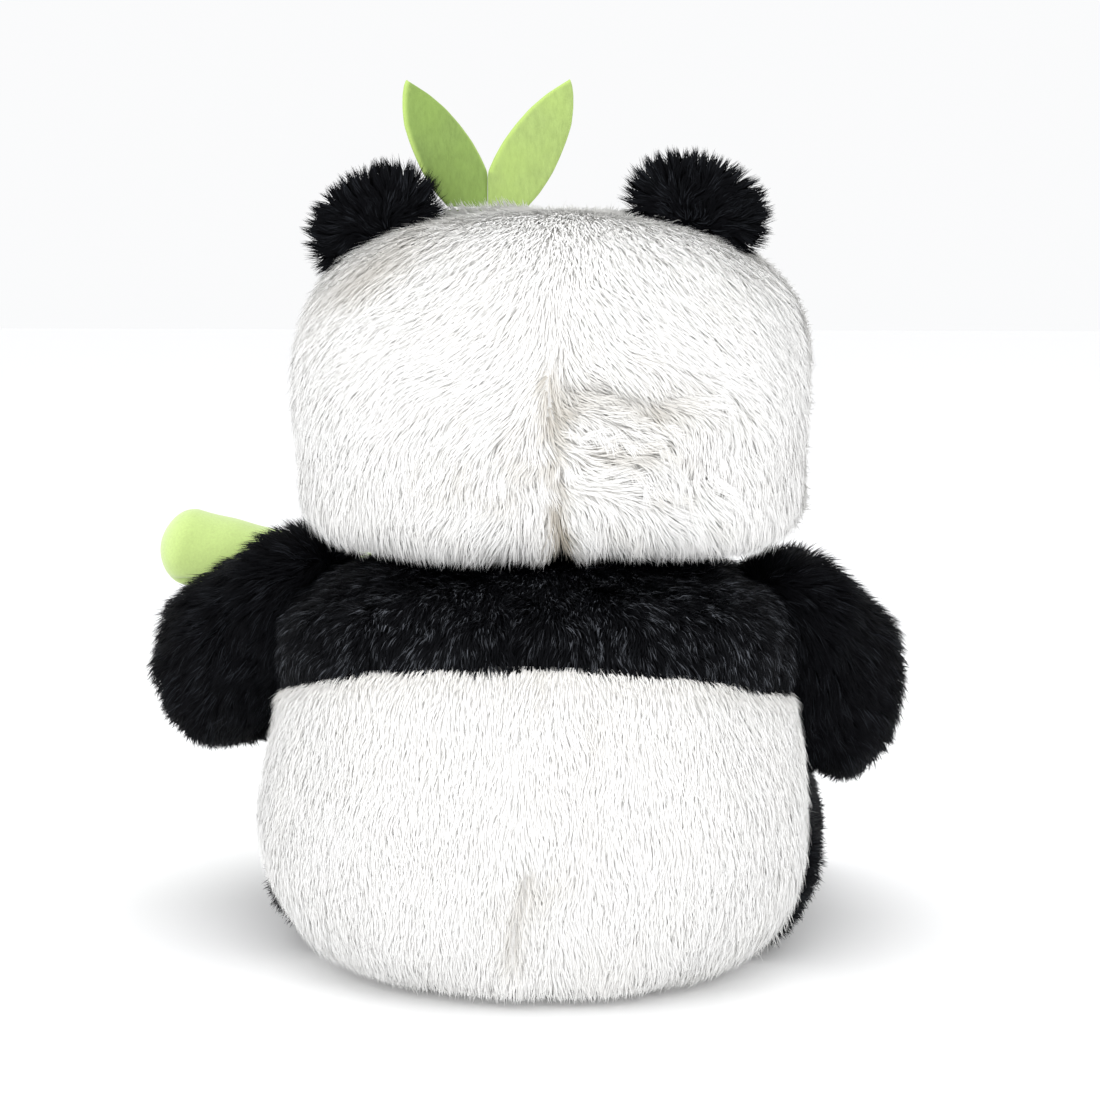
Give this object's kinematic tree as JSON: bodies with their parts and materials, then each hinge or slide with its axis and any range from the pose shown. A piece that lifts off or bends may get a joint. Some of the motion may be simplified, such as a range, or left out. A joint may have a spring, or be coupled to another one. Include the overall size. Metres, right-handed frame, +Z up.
{
  "type": "plush panda",
  "caption": "Seated plush panda with white and black long-pile fur, hugging a stuffed green bamboo stick and wearing two felt leaves; head, ears, arms and legs move.",
  "frame": {"origin": "centre of the flat seat panel's underside, on the floor", "axes": "+Z up, the face looks to -Y, the toy's own left is +X"},
  "size_m": [0.2882, 0.2344, 0.315],
  "materials": {
    "white_pile": "long soft pile, slightly lustrous, combed downwards",
    "black_pile": "long soft pile with a faint cool glint, combed downwards",
    "filling": "loose polyester fibre",
    "bamboo_velour": "short brushed velour",
    "leaf_felt": "thick felt with short nap",
    "tie_thread": "twisted thread",
    "eye_plastic": "polished dome",
    "washer_plastic": "moulded",
    "nose_satin": "satin",
    "stitch_thread": "embroidery floss",
    "sole_cloth": "short brushed plush"
  },
  "bodies": {
    "torso": {"yoke_back": "black_pile", "yoke_front": "black_pile", "back_left": "white_pile", "back_right": "white_pile", "belly": "white_pile", "seat_panel": "white_pile", "body_stuffing": "filling"},
    "neck": {"neck_stuffing": "filling"},
    "head": {"head_back_left": "white_pile", "head_back_right": "white_pile", "face_left": "white_pile", "face_right": "white_pile", "head_stuffing": "filling", "eye_patch_left": "black_pile", "eye_patch_right": "black_pile", "eye_left": "eye_plastic", "eye_right": "eye_plastic", "eye_washer_left": "washer_plastic", "eye_washer_right": "washer_plastic", "muzzle": "white_pile", "muzzle_stuffing": "filling", "nose": "nose_satin", "mouth_stitch": "stitch_thread", "leaf_base": "leaf_felt"},
    "ear_left": {"ear_left_back": "black_pile", "ear_left_front": "black_pile"},
    "ear_right": {"ear_right_back": "black_pile", "ear_right_front": "black_pile"},
    "leaf_left": {"leaf_left": "leaf_felt"},
    "leaf_right": {"leaf_right": "leaf_felt"},
    "arm_left": {"arm_left_outer": "black_pile", "arm_left_inner": "black_pile", "arm_left_stuffing": "filling"},
    "arm_right": {"arm_right_outer": "black_pile", "arm_right_inner": "black_pile", "arm_right_stuffing": "filling"},
    "leg_left": {"leg_left_outer": "black_pile", "leg_left_inner": "black_pile", "leg_left_sole": "sole_cloth", "leg_left_stuffing": "filling"},
    "leg_right": {"leg_right_outer": "black_pile", "leg_right_inner": "black_pile", "leg_right_sole": "sole_cloth", "leg_right_stuffing": "filling"},
    "bamboo": {"bamboo_segment_1": "bamboo_velour", "bamboo_segment_2": "bamboo_velour", "bamboo_segment_3": "bamboo_velour", "bamboo_segment_4": "bamboo_velour", "bamboo_tie_1": "tie_thread", "bamboo_tie_2": "tie_thread", "bamboo_tie_3": "tie_thread", "bamboo_stuffing": "filling"}
  },
  "joints": [
    {"name": "head_turn", "type": "hinge", "parent": "torso", "child": "neck", "pos_m": [-0.00225, -0.004, 0.151], "axis": [0, 0, 1], "range_deg": [-25, 25], "stiffness_Nm_per_rad": 0.5},
    {"name": "head_nod", "type": "hinge", "parent": "neck", "child": "head", "pos_m": [-0.00225, -0.004, 0.151], "axis": [1, 0, 0], "range_deg": [-5, 5], "stiffness_Nm_per_rad": 2},
    {"name": "ear_left_fold", "type": "hinge", "parent": "head", "child": "ear_left", "pos_m": [0.0535, 0.003, 0.2587], "axis": [0.8572, 0, -0.515], "range_deg": [-20, 20], "stiffness_Nm_per_rad": 0.05},
    {"name": "ear_right_fold", "type": "hinge", "parent": "head", "child": "ear_right", "pos_m": [-0.054, 0.003, 0.26286], "axis": [0.9511, 0, 0.309], "range_deg": [-20, 20], "stiffness_Nm_per_rad": 0.05},
    {"name": "leaf_left_flex", "type": "hinge", "parent": "head", "child": "leaf_left", "pos_m": [0.0187, -0.013, 0.2695], "axis": [1, 0, 0], "range_deg": [-25, 25], "stiffness_Nm_per_rad": 0.01},
    {"name": "leaf_right_flex", "type": "hinge", "parent": "head", "child": "leaf_right", "pos_m": [0.0187, -0.013, 0.2695], "axis": [1, 0, 0], "range_deg": [-25, 25], "stiffness_Nm_per_rad": 0.01},
    {"name": "arm_left_open", "type": "hinge", "parent": "torso", "child": "arm_left", "pos_m": [0.09, -0.022, 0.125], "axis": [0, 0, 1], "range_deg": [0, 45], "stiffness_Nm_per_rad": 0.2},
    {"name": "arm_right_open", "type": "hinge", "parent": "torso", "child": "arm_right", "pos_m": [-0.089, -0.022, 0.119], "axis": [0, 0, 1], "range_deg": [-42, 0], "stiffness_Nm_per_rad": 0.2},
    {"name": "leg_left_splay", "type": "hinge", "parent": "torso", "child": "leg_left", "pos_m": [0.0665, -0.018, 0.0343], "axis": [0, 0, 1], "range_deg": [0, 10], "stiffness_Nm_per_rad": 0.5},
    {"name": "leg_right_splay", "type": "hinge", "parent": "torso", "child": "leg_right", "pos_m": [-0.0665, -0.018, 0.0343], "axis": [0, 0, 1], "range_deg": [-10, 0], "stiffness_Nm_per_rad": 0.5},
    {"name": "bamboo_pull", "type": "slide", "parent": "torso", "child": "bamboo", "axis": [0.9703, 0, 0.2419], "range_m": [0, 0.2]}
  ]
}
